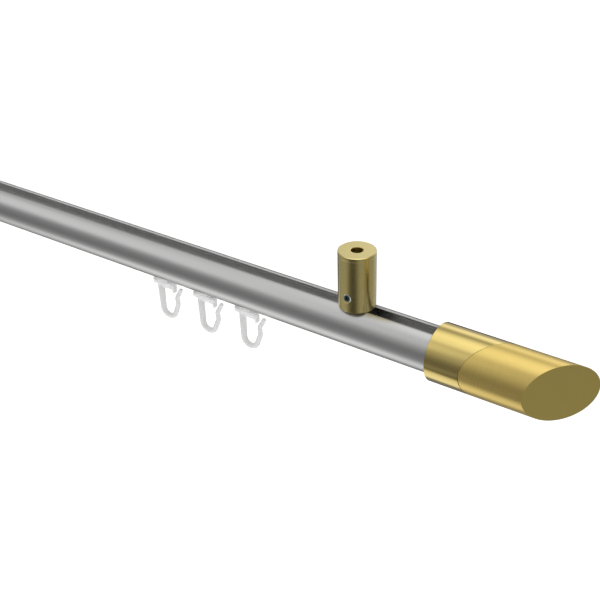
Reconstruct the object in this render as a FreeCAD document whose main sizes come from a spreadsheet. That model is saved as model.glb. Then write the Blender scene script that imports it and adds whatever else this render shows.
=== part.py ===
import FreeCAD, Part
import math
import os

import Sketcher

# Ceiling-mounted curtain track with a round rail.
# Millimetres. The origin lies on the ceiling plane, midway between the two ceiling posts.
# +X runs along the rail towards its right-hand end, +Y to the wall side, +Z up.

doc = FreeCAD.newDocument("curtain_track")
sheet = doc.addObject("Spreadsheet::Sheet", "Sizes")

# Every driving dimension: its alias, its value and what it is.
DIMENSIONS = [
    ("rail_length", 800, "length of the extruded rail"),
    ("rail_radius", 10, "outside radius of the rail"),
    ("rail_wall", 1.0, "wall of the round tube"),
    ("slot_width", 6.6, "mouth of the upper slot, where the posts are held"),
    ("slot_floor", 4.0, "floor of the upper slot above the rail axis"),
    ("web_thickness", 1.2, "web between the upper slot and the glider channel"),
    ("channel_width", 4.2, "mouth of the glider channel under the rail"),
    ("ledge_thickness", 2.1, "running ledges of the channel above the underside of the rail"),
    ("post_inset", 55, "from each rail end to the axis of its post"),
    ("post_radius", 8, "outside radius of a ceiling post"),
    ("post_height", 25.5, "height of a ceiling post"),
    ("post_cap", 4, "thickness of the post under the ceiling"),
    ("post_bore", 5.1, "radius of the bore that takes the spigot"),
    ("ceiling_hole", 2.55, "radius of the hole for the ceiling screw"),
    ("turned_chamfer", 0.3, "chamfer on the turned edges"),
    ("grub_height", 6.4, "grub screw of a post above its foot"),
    ("spigot_gap", 0.05, "radial gap between spigot and post"),
    ("spigot_height", 14, "height of the spigot head"),
    ("groove_width", 4.4, "width of the groove that the grub screw bites in"),
    ("groove_depth", 1.2, "depth of that groove"),
    ("spigot_socket", 4, "hexagon socket in the top of the spigot, across flats"),
    ("spigot_socket_depth", 3, "depth of that socket"),
    ("clamp_thread", 2.5, "radius of the thread between spigot and slot nut"),
    ("thread_gap", 0.05, "radial gap in every thread"),
    ("nut_length", 14, "slot nut along the rail"),
    ("nut_width", 9.6, "slot nut across the rail"),
    ("nut_floor_gap", 0.4, "slot nut above the floor of its slot"),
    ("nut_roof_gap", 0.05, "slot nut under the rounded roof of its slot"),
    ("grub_radius", 2, "radius of the grub screws"),
    ("grub_socket", 2, "hexagon socket of the grub screws, across flats"),
    ("grub_socket_depth", 1.2, "depth of that socket"),
    ("grub_chamfer", 0.25, "chamfer at both ends of the grub screws"),
    ("sleeve_wall", 2.4, "wall of a finial sleeve"),
    ("finial_overlap", 15.7, "length of rail inside a finial sleeve"),
    ("finial_gap", 0.1, "radial gap between sleeve and rail"),
    ("finial_end_gap", 0.3, "gap between the rail end and the floor of the sleeve"),
    ("seam_distance", 25.9, "from the mouth of the sleeve to the slanted joint, on the axis"),
    ("tip_length", 27.4, "from the slanted joint to the slanted end face, on the axis"),
    ("cut_angle", 40, "slant of both faces from square, in degrees"),
    ("slanted_chamfer", 0.15, "chamfer on the slanted edges"),
    ("finial_grub_inset", 7, "grub screw of a finial from the mouth of its sleeve"),
    ("joint_screw_radius", 2.5, "thread of the screw between sleeve and tip"),
    ("joint_screw_length", 16, "length of its thread"),
    ("joint_head_radius", 4.25, "radius of its head"),
    ("joint_head_height", 5, "height of its head"),
    ("joint_socket", 4, "hexagon socket of its head, across flats"),
    ("joint_socket_depth", 2.5, "depth of that socket"),
    ("joint_head_gap", 0.35, "radial gap round its head"),
    ("joint_shank_gap", 0.15, "radial gap round its shank in the sleeve"),
    ("tapping_reserve", 1.5, "depth of the tapped hole past the screw"),
    ("glider_pitch", 24.4, "spacing of the three gliders that stand together"),
    ("glider_inset", 59.5, "from the right-hand post to the nearest glider"),
    ("loose_count", 5, "gliders spread over the rest of the rail"),
    ("loose_pitch", 90, "spacing of those gliders"),
    ("head_length", 11, "glider head along the rail"),
    ("head_side_gap", 0.69, "gap between the head's lower edge and each side of the channel"),
    ("head_height", 1.5, "thickness of the glider head"),
    ("head_corner", 1.5, "rounding of the head's corners"),
    ("head_lift", 0.1, "running gap between the head and the ledges"),
    ("neck_length", 6, "glider neck along the rail"),
    ("neck_gap", 0.4, "gap between the neck and each side of the channel"),
    ("plate_drop", 2.2, "from the underside of the rail to the glider plate"),
    ("plate_height", 2.3, "thickness of the glider plate"),
    ("plate_length", 12.3, "glider plate along the rail"),
    ("plate_width", 4.4, "glider plate across the rail"),
    ("plate_corner", 1.8, "rounding of the plate's corners"),
    ("rib_width", 2.2, "rib and tooth across the rail"),
    ("rib_height", 1.5, "rib under the plate"),
    ("tooth_height", 3.2, "tooth under the plate"),
    ("tooth_length", 1.4, "tooth along the rail"),
    ("tooth_slant_length", 0.45, "slanted lower corner of the tooth, along the rail"),
    ("tooth_slant_height", 0.7, "height of that corner"),
    ("tooth_reach", 0.45, "tooth past the end of the plate"),
    ("hook_offset", 2.45, "hook shank from the middle of the plate"),
    ("hook_root_radius", 1.38, "radius of the hook where it leaves the plate"),
    ("hook_end_radius", 0.85, "radius of the hook at its tip"),
    ("shank_length", 14.6, "straight shank of the hook"),
    ("shank_lean", 1.4, "lean of the shank, in degrees"),
    ("bend_radius", 3.85, "bend at the bottom of the hook"),
    ("arm_length", 5.0, "straight arm after the bend"),
    ("arm_lean", 22, "lean of the arm, in degrees"),
    ("kink_radius", 2.5, "both bends of the kink"),
    ("kink_length", 2.6, "stretch that leans back in the kink"),
    ("kink_lean", 4, "lean of that stretch, in degrees"),
    ("end_length", 4.6, "straight end of the hook"),
    ("end_lean", 30, "lean of the end, in degrees"),
]

for row, (alias, size, meaning) in enumerate(DIMENSIONS, start=1):
    sheet.set(f"A{row}", meaning)
    sheet.set(f"B{row}", str(size))
    sheet.setAlias(f"B{row}", alias)
doc.recompute()

# Places that several pieces share, written as expressions on the sheet.
INNER_RADIUS = "(Sizes.rail_radius - Sizes.rail_wall)"
SLOT_HALF = "(Sizes.slot_width / 2)"
CHANNEL_HALF = "(Sizes.channel_width / 2)"
WEB_UNDERSIDE = "(Sizes.slot_floor - Sizes.web_thickness)"
LIP_HEIGHT = f"sqrt(Sizes.rail_radius ^ 2 - {SLOT_HALF} ^ 2)"
AXIS_HEIGHT = f"(-Sizes.post_height - {LIP_HEIGHT})"
FOOT_HEIGHT = "(-Sizes.post_height)"
NUT_UNDERSIDE = "(Sizes.slot_floor + Sizes.nut_floor_gap)"
THREAD_END = f"({NUT_UNDERSIDE} - {LIP_HEIGHT})"
POST_X = "(Sizes.rail_length / 2 - Sizes.post_inset)"
RIM_X = "(Sizes.rail_length / 2 - Sizes.finial_overlap)"
SLEEVE_BORE = "(Sizes.rail_radius + Sizes.finial_gap)"
FINIAL_RADIUS = f"({SLEEVE_BORE} + Sizes.sleeve_wall)"
SLEEVE_FLOOR = "(Sizes.finial_overlap + Sizes.finial_end_gap)"
HEAD_SEAT = f"({SLEEVE_FLOOR} + Sizes.joint_head_height)"
CUT_RISE = f"({FINIAL_RADIUS} * tan(Sizes.cut_angle))"
CUT_DISTANCE = "(Sizes.seam_distance + Sizes.tip_length)"
PLATE_TOP = "(-Sizes.rail_radius - Sizes.plate_drop)"
PLATE_UNDERSIDE = f"({PLATE_TOP} - Sizes.plate_height)"
LEDGE_HEIGHT = "(-Sizes.rail_radius + Sizes.ledge_thickness)"
HEAD_UNDERSIDE = f"({LEDGE_HEIGHT} + Sizes.head_lift)"
HEAD_HALF = f"(sqrt({INNER_RADIUS} ^ 2 - {HEAD_UNDERSIDE} ^ 2) - Sizes.head_side_gap)"

# How close two places have to be to count as the same, and how many points test an edge.
SAME_PLACE = 1e-4
EDGE_POINTS = 9


def measure(expression):
    """The number that an expression on the sheet gives."""
    return float(sheet.evalExpression(str(expression)))


def bind(target, path, expression):
    """Tie one property of an object to an expression on the sheet."""
    target.setExpression(path, str(expression))


def place(target, x_at="0", z_at="0", turn=None):
    """Put a finished piece where it belongs along the rail and under the ceiling."""
    if turn is not None:
        target.Placement = FreeCAD.Placement(FreeCAD.Vector(), turn)
    bind(target, "Placement.Base.x", x_at)
    bind(target, "Placement.Base.z", z_at)


def new_body(label):
    body = doc.addObject("PartDesign::Body", label)
    body.Label = label
    doc.recompute()
    return body


def new_sketch(body, name, plane_role):
    """An empty sketch on one of the body's origin planes."""
    plane = next(item for item in body.Origin.OriginFeatures if item.Role == plane_role)
    sketch = body.newObject("Sketcher::SketchObject", name)
    sketch.AttachmentSupport = [(plane, "")]
    sketch.MapMode = "FlatFace"
    return sketch


def fix_value(sketch, kind, places, expression):
    """Add a dimension to a sketch and tie it to an expression on the sheet."""
    number = measure(expression)
    if kind == "Angle":
        number = math.radians(number)
        expression = f"({expression}) * 1 deg"
    index = sketch.addConstraint(Sketcher.Constraint(kind, *places, number))
    sketch.setExpression(f"Constraints[{index}]", str(expression))


def fix_point(sketch, edge, end, x_at=None, y_at=None):
    """Fix a point's coordinates; one on an axis of the sketch is held to that axis."""
    for kind, axis, expression in (("DistanceX", -2, x_at), ("DistanceY", -1, y_at)):
        if expression is None:
            continue
        if expression == "0":
            sketch.addConstraint(Sketcher.Constraint("PointOnObject", edge, end, axis))
        else:
            fix_value(sketch, kind, (edge, end), expression)


def draw_polygon(sketch, corners):
    """A closed polygon through corners given as pairs of expressions."""
    points = [FreeCAD.Vector(measure(x_at), measure(y_at), 0) for x_at, y_at in corners]
    for start, end in zip(points, points[1:] + points[:1]):
        sketch.addGeometry(Part.LineSegment(start, end), False)
    for edge, (x_at, y_at) in enumerate(corners):
        before = (edge - 1) % len(corners)
        sketch.addConstraint(Sketcher.Constraint("Coincident", before, 2, edge, 1))
        fix_point(sketch, edge, 1, x_at, y_at)


def draw_box(sketch, left, right, bottom, top):
    draw_polygon(sketch, [(left, bottom), (right, bottom), (right, top), (left, top)])


def draw_hexagon(sketch, across_flats):
    """A hexagon round the sketch's origin, with two of its corners on the vertical axis."""
    corner = f"({across_flats} / sqrt(3))"
    half = f"({across_flats} / 2)"
    draw_polygon(sketch, [("0", f"-{corner}"), (half, f"-{corner} / 2"), (half, f"{corner} / 2"),
                          ("0", corner), (f"-{half}", f"{corner} / 2"),
                          (f"-{half}", f"-{corner} / 2")])


def draw_circle(sketch, radius, x_at="0", y_at="0"):
    centre = FreeCAD.Vector(measure(x_at), measure(y_at), 0)
    circle = Part.Circle(centre, FreeCAD.Vector(0, 0, 1), measure(radius))
    edge = sketch.addGeometry(circle, False)
    fix_value(sketch, "Radius", (edge,), radius)
    fix_point(sketch, edge, 3, x_at, y_at)


def pad(body, sketch, length):
    """Raise a sketch by the same amount on both sides of its plane."""
    feature = body.newObject("PartDesign::Pad", sketch.Name + "_pad")
    feature.Profile = sketch
    feature.SideType = "Symmetric"
    bind(feature, "Length", length)
    doc.recompute()
    return feature


def revolve(body, sketch, axis):
    """Turn a half section about one axis of its sketch."""
    feature = body.newObject("PartDesign::Revolution", sketch.Name + "_turned")
    feature.Profile = sketch
    feature.ReferenceAxis = (sketch, [axis])
    feature.Angle = 360
    doc.recompute()
    return feature


def pocket(body, sketch, length=None, towards_normal=False, both_sides=False):
    """Cut a sketch away, through everything or to a depth, and make sure that it cut."""
    before = body.Shape.Volume
    feature = body.newObject("PartDesign::Pocket", sketch.Name + "_cut")
    feature.Profile = sketch
    feature.Reversed = towards_normal
    if both_sides:
        feature.SideType = "Symmetric"
    if length is None:
        feature.Type = "ThroughAll"
    else:
        bind(feature, "Length", length)
    doc.recompute()
    if body.Shape.Volume > before - SAME_PLACE:
        raise ValueError(f"{feature.Name} cuts nothing")
    return feature


def socket_pocket(body, name, across_flats, depth, face_height):
    """A hexagon socket sunk into the face that looks along +Z."""
    sketch = new_sketch(body, name, "XY_Plane")
    bind(sketch, "AttachmentOffset.Base.z", face_height)
    draw_hexagon(sketch, across_flats)
    pocket(body, sketch, depth)


def draw_barrel(sketch, radius, bottom, top):
    """The part of a round opening between two level chords, or above the lower one only."""
    circle = Part.Circle(FreeCAD.Vector(), FreeCAD.Vector(0, 0, 1), measure(radius))
    low = math.asin(measure(bottom) / measure(radius))
    high = math.asin(measure(top) / measure(radius)) if top else math.pi - low
    arcs = [(low, high)] if top is None else [(low, high), (math.pi - high, math.pi - low)]
    for start, end in arcs:
        edge = sketch.addGeometry(Part.ArcOfCircle(circle, start, end), False)
        sketch.addConstraint(Sketcher.Constraint("Coincident", edge, 3, -1, 1))
        fix_value(sketch, "Radius", (edge,), radius)
    chords = [(bottom, len(arcs) - 1, 0)] if top is None else [(bottom, 1, 0), (top, 0, 1)]
    for height, from_arc, to_arc in chords:
        start = sketch.getPoint(from_arc, 2)
        end = sketch.getPoint(to_arc, 1)
        edge = sketch.addGeometry(Part.LineSegment(start, end), False)
        sketch.addConstraint(Sketcher.Constraint("Coincident", from_arc, 2, edge, 1))
        sketch.addConstraint(Sketcher.Constraint("Coincident", edge, 2, to_arc, 1))
        sketch.addConstraint(Sketcher.Constraint("Horizontal", edge))
        fix_point(sketch, edge, 1, y_at=height)


# Rail: one extrusion with the post slot on top and the glider channel below.

def make_rail():
    body = new_body("rail")
    outline = new_sketch(body, "rail_outline", "YZ_Plane")
    draw_circle(outline, "Sizes.rail_radius")
    pad(body, outline, "Sizes.rail_length")
    chamber = new_sketch(body, "rail_slot_chamber", "YZ_Plane")
    draw_barrel(chamber, INNER_RADIUS, "Sizes.slot_floor", None)
    pocket(body, chamber, both_sides=True)
    channel = new_sketch(body, "rail_channel_chamber", "YZ_Plane")
    draw_barrel(channel, INNER_RADIUS, LEDGE_HEIGHT, WEB_UNDERSIDE)
    pocket(body, channel, both_sides=True)
    slot_mouth = new_sketch(body, "rail_slot_mouth", "YZ_Plane")
    draw_box(slot_mouth, f"-{SLOT_HALF}", SLOT_HALF, "Sizes.slot_floor", "Sizes.rail_radius")
    pocket(body, slot_mouth, both_sides=True)
    channel_mouth = new_sketch(body, "rail_channel_mouth", "YZ_Plane")
    draw_box(channel_mouth, f"-{CHANNEL_HALF}", CHANNEL_HALF, "-Sizes.rail_radius", LEDGE_HEIGHT)
    pocket(body, channel_mouth, both_sides=True)
    place(body, z_at=AXIS_HEIGHT)
    return body


# Ceiling post: a turned cup, open below, with a hole for the ceiling screw in its cap.

def make_post(label, x_at):
    body = new_body(label)
    section = new_sketch(body, label + "_section", "XZ_Plane")
    bevel = "Sizes.turned_chamfer"
    draw_polygon(section, [
        ("Sizes.post_bore", "0"),
        (f"Sizes.post_radius - {bevel}", "0"),
        ("Sizes.post_radius", bevel),
        ("Sizes.post_radius", f"Sizes.post_height - {bevel}"),
        (f"Sizes.post_radius - {bevel}", "Sizes.post_height"),
        ("Sizes.ceiling_hole", "Sizes.post_height"),
        ("Sizes.ceiling_hole", "Sizes.post_height - Sizes.post_cap"),
        ("Sizes.post_bore", "Sizes.post_height - Sizes.post_cap"),
    ])
    revolve(body, section, "V_Axis")
    thread = new_sketch(body, label + "_grub_thread", "XZ_Plane")
    draw_circle(thread, "Sizes.grub_radius + Sizes.thread_gap", y_at="Sizes.grub_height")
    pocket(body, thread, towards_normal=True)
    place(body, x_at, FOOT_HEIGHT)
    return body


# Spigot: the turned pin that stands on the rail's lips inside the post and is screwed
# down through the slot nut, flush with its underside.

SPIGOT_RADIUS = "(Sizes.post_bore - Sizes.spigot_gap)"


def make_spigot(label, x_at):
    body = new_body(label)
    section = new_sketch(body, label + "_section", "XZ_Plane")
    bevel = "Sizes.turned_chamfer"
    groove_floor = f"{SPIGOT_RADIUS} - Sizes.groove_depth"
    draw_polygon(section, [
        ("0", THREAD_END),
        (f"Sizes.clamp_thread - {bevel}", THREAD_END),
        ("Sizes.clamp_thread", f"{THREAD_END} + {bevel}"),
        ("Sizes.clamp_thread", "0"),
        (SPIGOT_RADIUS, "0"),
        (SPIGOT_RADIUS, "Sizes.grub_height - Sizes.groove_width / 2"),
        (groove_floor, "Sizes.grub_height - Sizes.groove_width / 2"),
        (groove_floor, "Sizes.grub_height + Sizes.groove_width / 2"),
        (SPIGOT_RADIUS, "Sizes.grub_height + Sizes.groove_width / 2"),
        (SPIGOT_RADIUS, f"Sizes.spigot_height - {bevel}"),
        (f"{SPIGOT_RADIUS} - {bevel}", "Sizes.spigot_height"),
        ("0", "Sizes.spigot_height"),
    ])
    revolve(body, section, "V_Axis")
    socket_pocket(body, label + "_socket", "Sizes.spigot_socket", "Sizes.spigot_socket_depth",
                  "Sizes.spigot_height")
    place(body, x_at, FOOT_HEIGHT)
    return body


# Slot nut: a sliding block with a rounded back that is drawn up under the rail's lips.

def make_slot_nut(label, x_at):
    roof_radius = f"({INNER_RADIUS} - Sizes.nut_roof_gap)"
    block = doc.addObject("Part::Box", label + "_block")
    bind(block, "Length", "Sizes.nut_length")
    bind(block, "Width", "Sizes.nut_width")
    bind(block, "Height", f"{roof_radius} - {NUT_UNDERSIDE}")
    bind(block, "Placement.Base.x", "-Sizes.nut_length / 2")
    bind(block, "Placement.Base.y", "-Sizes.nut_width / 2")
    bind(block, "Placement.Base.z", NUT_UNDERSIDE)
    back = doc.addObject("Part::Cylinder", label + "_back")
    back.Placement.Rotation = FreeCAD.Rotation(FreeCAD.Vector(0, 1, 0), 90)
    bind(back, "Radius", roof_radius)
    bind(back, "Height", "Sizes.nut_length")
    bind(back, "Placement.Base.x", "-Sizes.nut_length / 2")
    rounded = doc.addObject("Part::Common", label + "_rounded")
    rounded.Base = block
    rounded.Tool = back
    thread = doc.addObject("Part::Cylinder", label + "_thread")
    bind(thread, "Radius", "Sizes.clamp_thread + Sizes.thread_gap")
    bind(thread, "Height", roof_radius)
    nut = doc.addObject("Part::Cut", label)
    nut.Base = rounded
    nut.Tool = thread
    place(nut, x_at, AXIS_HEIGHT)
    return nut


# Grub screws: a threaded stub with a hexagon socket in its outer end, which looks along
# its own +Z.

def make_grub_screw(label, length):
    body = new_body(label)
    section = new_sketch(body, label + "_section", "XZ_Plane")
    bevel = "Sizes.grub_chamfer"
    draw_polygon(section, [
        ("0", f"-({length})"),
        (f"Sizes.grub_radius - {bevel}", f"-({length})"),
        ("Sizes.grub_radius", f"-({length}) + {bevel}"),
        ("Sizes.grub_radius", f"-{bevel}"),
        (f"Sizes.grub_radius - {bevel}", "0"),
        ("0", "0"),
    ])
    revolve(body, section, "V_Axis")
    socket_pocket(body, label + "_socket", "Sizes.grub_socket", "Sizes.grub_socket_depth", "0")
    return body


def make_post_grub_screw(label, x_at):
    """It reaches from just under the post's surface to the groove of the spigot."""
    outer_end = "(Sizes.post_radius - Sizes.turned_chamfer)"
    inner_end = f"({SPIGOT_RADIUS} - Sizes.groove_depth)"
    body = make_grub_screw(label, f"{outer_end} - {inner_end}")
    place(body, x_at, f"{FOOT_HEIGHT} + Sizes.grub_height",
          FreeCAD.Rotation(FreeCAD.Vector(1, 0, 0), 90))
    bind(body, "Placement.Base.y", f"-{outer_end}")
    return body


# Finials: a sleeve over the rail end, a solid tip with a slanted end, the screw that joins
# the two from inside the sleeve, and a grub screw that clamps the sleeve. Each is drawn
# from the mouth of the sleeve along +X; the left-hand one is turned half round about Y.

def cut_slanted(body, name, distance, far_side):
    """Cut away what lies beyond the slanted plane, or before it."""
    reach = FINIAL_RADIUS
    edge_low = (f"{distance} - {CUT_RISE}", f"-{reach}")
    edge_high = (f"{distance} + {CUT_RISE}", reach)
    outside = f"{CUT_DISTANCE} + {CUT_RISE} + {reach}" if far_side else f"-{reach}"
    corners = [edge_low, (outside, f"-{reach}"), (outside, reach), edge_high]
    if not far_side:
        corners.reverse()
    sketch = new_sketch(body, name, "XY_Plane")
    draw_polygon(sketch, corners)
    return pocket(body, sketch, both_sides=True)


def bevel_slanted(body, name, feature, distance):
    """A fine chamfer where the slanted plane meets the round outside."""
    slope = math.tan(math.radians(measure("Sizes.cut_angle")))
    radius = measure(FINIAL_RADIUS)
    rims = []
    for index, edge in enumerate(feature.Shape.Edges, start=1):
        points = edge.discretize(EDGE_POINTS)
        on_plane = all(abs(point.x - measure(distance) - slope * point.y) < SAME_PLACE
                       for point in points)
        outside = all(abs(math.hypot(point.y, point.z) - radius) < SAME_PLACE
                      for point in points)
        if on_plane and outside:
            rims.append(f"Edge{index}")
    chamfer = body.newObject("PartDesign::Chamfer", name)
    chamfer.Base = (feature, rims)
    bind(chamfer, "Size", "Sizes.slanted_chamfer")
    doc.recompute()
    return chamfer


def place_finial_piece(piece, side, along="0", across="0"):
    """Put a piece of a finial at its rail end; side is 1 on the right and -1 on the left."""
    if side < 0:
        turn = FreeCAD.Rotation(FreeCAD.Vector(0, 1, 0), 180)
        piece.Placement.Rotation = turn.multiply(piece.Placement.Rotation)
    bind(piece, "Placement.Base.x", f"{side} * ({RIM_X} + {along})")
    bind(piece, "Placement.Base.y", across)
    bind(piece, "Placement.Base.z", AXIS_HEIGHT)


def make_finial_sleeve(label, side):
    body = new_body(label)
    section = new_sketch(body, label + "_section", "XZ_Plane")
    bevel = "Sizes.turned_chamfer"
    blank_end = f"Sizes.seam_distance + {CUT_RISE}"
    head_room = "(Sizes.joint_head_radius + Sizes.joint_head_gap)"
    shank_room = "(Sizes.joint_screw_radius + Sizes.joint_shank_gap)"
    draw_polygon(section, [
        ("0", SLEEVE_BORE),
        ("0", f"{FINIAL_RADIUS} - {bevel}"),
        (bevel, FINIAL_RADIUS),
        (blank_end, FINIAL_RADIUS),
        (blank_end, shank_room),
        (HEAD_SEAT, shank_room),
        (HEAD_SEAT, head_room),
        (SLEEVE_FLOOR, head_room),
        (SLEEVE_FLOOR, SLEEVE_BORE),
    ])
    revolve(body, section, "H_Axis")
    thread = new_sketch(body, label + "_grub_thread", "XZ_Plane")
    draw_circle(thread, "Sizes.grub_radius + Sizes.thread_gap", x_at="Sizes.finial_grub_inset")
    pocket(body, thread)
    slanted = cut_slanted(body, label + "_slant", "Sizes.seam_distance", True)
    bevel_slanted(body, label + "_bevel", slanted, "Sizes.seam_distance")
    place_finial_piece(body, side)
    return body


def make_finial_tip(label, side):
    body = new_body(label)
    section = new_sketch(body, label + "_section", "XZ_Plane")
    blank_start = f"(Sizes.seam_distance - {CUT_RISE})"
    blank_end = f"({CUT_DISTANCE} + {CUT_RISE})"
    tapped = "(Sizes.joint_screw_radius + Sizes.thread_gap)"
    hole_end = f"({HEAD_SEAT} + Sizes.joint_screw_length + Sizes.tapping_reserve)"
    draw_polygon(section, [
        (blank_start, tapped),
        (blank_start, FINIAL_RADIUS),
        (blank_end, FINIAL_RADIUS),
        (blank_end, "0"),
        (hole_end, "0"),
        (hole_end, tapped),
    ])
    revolve(body, section, "H_Axis")
    cut_slanted(body, label + "_inner_slant", "Sizes.seam_distance", False)
    slanted = cut_slanted(body, label + "_outer_slant", CUT_DISTANCE, True)
    bevelled = bevel_slanted(body, label + "_outer_bevel", slanted, CUT_DISTANCE)
    bevel_slanted(body, label + "_inner_bevel", bevelled, "Sizes.seam_distance")
    place_finial_piece(body, side)
    return body


def make_joint_screw(label, side):
    """A cap screw whose head fills the counterbore at the bottom of the sleeve."""
    body = new_body(label)
    section = new_sketch(body, label + "_section", "XZ_Plane")
    bevel = "Sizes.turned_chamfer"
    draw_polygon(section, [
        ("0", "-Sizes.joint_screw_length"),
        (f"Sizes.joint_screw_radius - {bevel}", "-Sizes.joint_screw_length"),
        ("Sizes.joint_screw_radius", f"-Sizes.joint_screw_length + {bevel}"),
        ("Sizes.joint_screw_radius", "0"),
        ("Sizes.joint_head_radius", "0"),
        ("Sizes.joint_head_radius", f"Sizes.joint_head_height - {bevel}"),
        (f"Sizes.joint_head_radius - {bevel}", "Sizes.joint_head_height"),
        ("0", "Sizes.joint_head_height"),
    ])
    revolve(body, section, "V_Axis")
    socket_pocket(body, label + "_socket", "Sizes.joint_socket", "Sizes.joint_socket_depth",
                  "Sizes.joint_head_height")
    body.Placement.Rotation = FreeCAD.Rotation(FreeCAD.Vector(0, 1, 0), -90)
    place_finial_piece(body, side, along=HEAD_SEAT)
    return body


def make_finial_grub_screw(label, side):
    """It sits on the side away from the room and ends flush with the sleeve."""
    body = make_grub_screw(label, f"{FINIAL_RADIUS} - Sizes.rail_radius")
    body.Placement.Rotation = FreeCAD.Rotation(FreeCAD.Vector(1, 0, 0), -90)
    place_finial_piece(body, side, along="Sizes.finial_grub_inset", across=FINIAL_RADIUS)
    return body


# Gliders: one moulded piece each. The head runs on the ledges of the channel, the neck
# hangs through its mouth, and under the rail a plate carries a rib, a tooth and the hook.

def direction(degrees):
    """The unit vector that points so many degrees from a drawing's X axis."""
    angle = math.radians(degrees)
    return FreeCAD.Vector(math.cos(angle), math.sin(angle))


def draw_hook_line(sketch):
    """The middle line of the hook, walked from the plate down and round to its tip.

    Returns the last point and the headings at both ends, in degrees from +X.
    """
    steps = [
        ("line", "Sizes.shank_length", "Sizes.shank_lean - 90"),
        ("bend", "Sizes.bend_radius", "90 - Sizes.arm_lean"),
        ("line", "Sizes.arm_length", "90 - Sizes.arm_lean"),
        ("bend", "Sizes.kink_radius", "90 + Sizes.kink_lean"),
        ("line", "Sizes.kink_length", "90 + Sizes.kink_lean"),
        ("bend", "Sizes.kink_radius", "90 - Sizes.end_lean"),
        ("line", "Sizes.end_length", "90 - Sizes.end_lean"),
    ]
    start_x = "-Sizes.hook_offset"
    start_y = f"{PLATE_TOP} - Sizes.plate_height / 2"
    point = FreeCAD.Vector(measure(start_x), measure(start_y))
    heading = measure(steps[0][2])
    leaving = 1
    for edge, (kind, size, new_heading) in enumerate(steps):
        if kind == "line":
            end = point + direction(heading) * measure(size)
            sketch.addGeometry(Part.LineSegment(point, end), False)
            entering, next_leaving = 1, 2
        else:
            turn = measure(new_heading) - heading
            side = math.copysign(1, turn)
            centre = point + direction(heading + 90 * side) * measure(size)
            first = math.radians(heading - 90 * side)
            last = math.radians(measure(new_heading) - 90 * side)
            circle = Part.Circle(centre, FreeCAD.Vector(0, 0, 1), measure(size))
            arc = Part.ArcOfCircle(circle, min(first, last), max(first, last))
            sketch.addGeometry(arc, False)
            heading = measure(new_heading)
            end = centre + direction(heading - 90 * side) * measure(size)
            entering, next_leaving = (1, 2) if side > 0 else (2, 1)
        if edge > 0:
            sketch.addConstraint(Sketcher.Constraint("Tangent", edge - 1, leaving,
                                                     edge, entering))
        leaving = next_leaving
        point = end
    for edge, (kind, size, new_heading) in enumerate(steps):
        if kind == "line":
            fix_value(sketch, "Distance", (edge,), size)
            fix_value(sketch, "Angle", (edge,), new_heading)
        else:
            fix_value(sketch, "Radius", (edge,), size)
    fix_point(sketch, 0, 1, start_x, start_y)
    return point, measure(steps[0][2]), heading


def make_hook(label):
    """A round strand that thins towards its tip, swept along the hook's middle line."""
    upright = FreeCAD.Rotation(FreeCAD.Vector(1, 0, 0), 90)
    line = doc.addObject("Sketcher::SketchObject", label + "_hook_line")
    line.Placement = FreeCAD.Placement(FreeCAD.Vector(), upright)
    tip, root_heading, tip_heading = draw_hook_line(line)
    doc.recompute()
    root = line.Shape.Vertexes[0].Point
    tip = upright.multVec(tip)
    sections = []
    for name, centre, heading, radius in (("root", root, root_heading, "Sizes.hook_root_radius"),
                                          ("tip", tip, tip_heading, "Sizes.hook_end_radius")):
        ring = doc.addObject("Part::Circle", f"{label}_hook_{name}")
        along = upright.multVec(direction(heading))
        turn = FreeCAD.Rotation(FreeCAD.Vector(0, 0, 1), along)
        ring.Placement = FreeCAD.Placement(centre, turn)
        bind(ring, "Radius", radius)
        sections.append(ring)
    strand = doc.addObject("Part::Sweep", label + "_hook_strand")
    strand.Sections = sections
    strand.Spine = (line, [f"Edge{index + 1}" for index in range(len(line.Shape.Edges))])
    strand.Solid = True
    strand.Frenet = False
    ball = doc.addObject("Part::Sphere", label + "_hook_end")
    bind(ball, "Radius", "Sizes.hook_end_radius")
    ball.Placement.Base = tip
    doc.recompute()
    return [strand, ball]


def round_corners(body, name, feature, radius, half_length, half_width):
    """Round the four upright edges at the corners of a plate."""
    corners = []
    for index, edge in enumerate(feature.Shape.Edges, start=1):
        first, last = edge.Vertexes[0].Point, edge.Vertexes[-1].Point
        upright = abs(first.x - last.x) < SAME_PLACE and abs(first.y - last.y) < SAME_PLACE
        at_corner = (abs(abs(first.x) - measure(half_length)) < SAME_PLACE
                     and abs(abs(first.y) - measure(half_width)) < SAME_PLACE)
        if upright and at_corner:
            corners.append(f"Edge{index}")
    fillet = body.newObject("PartDesign::Fillet", name)
    fillet.Base = (feature, corners)
    bind(fillet, "Radius", radius)
    doc.recompute()
    return fillet


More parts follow.
